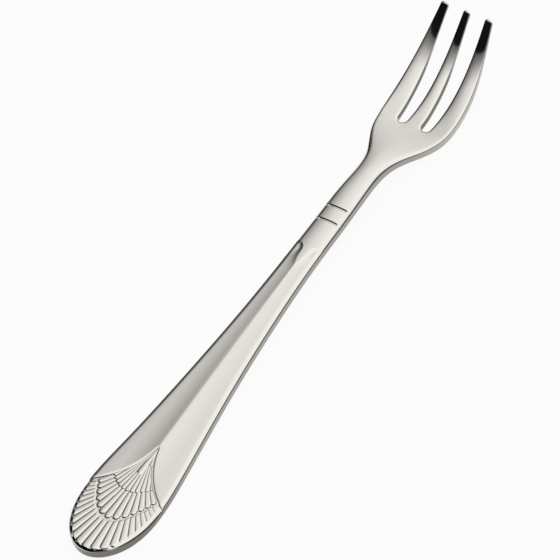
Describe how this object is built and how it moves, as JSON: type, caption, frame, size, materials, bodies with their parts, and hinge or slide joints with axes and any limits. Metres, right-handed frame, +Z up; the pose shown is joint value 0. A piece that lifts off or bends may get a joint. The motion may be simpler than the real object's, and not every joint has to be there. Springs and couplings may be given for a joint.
{
  "type": "oyster fork",
  "caption": "Slim oyster fork with a dished head, upturned tapering tines, a grooved collar and a fluted handle that ends in a struck fan of petals.",
  "frame": {"origin": "on the table, under the middle of the fork's length and width, with the fork lying face up", "axes": "+X to the fork's right, +Y from the handle's end towards the tine tips, +Z up"},
  "size_m": [0.019, 0.15, 0.0136],
  "materials": {
    "polished_steel": "stainless steel, mirror polished after striking"
  },
  "bodies": {
    "root": {"fan_end": "polished_steel", "shaft": "polished_steel", "collar": "polished_steel", "neck": "polished_steel", "bowl": "polished_steel", "left_tine": "polished_steel", "middle_tine": "polished_steel", "right_tine": "polished_steel"}
  },
  "joints": []
}
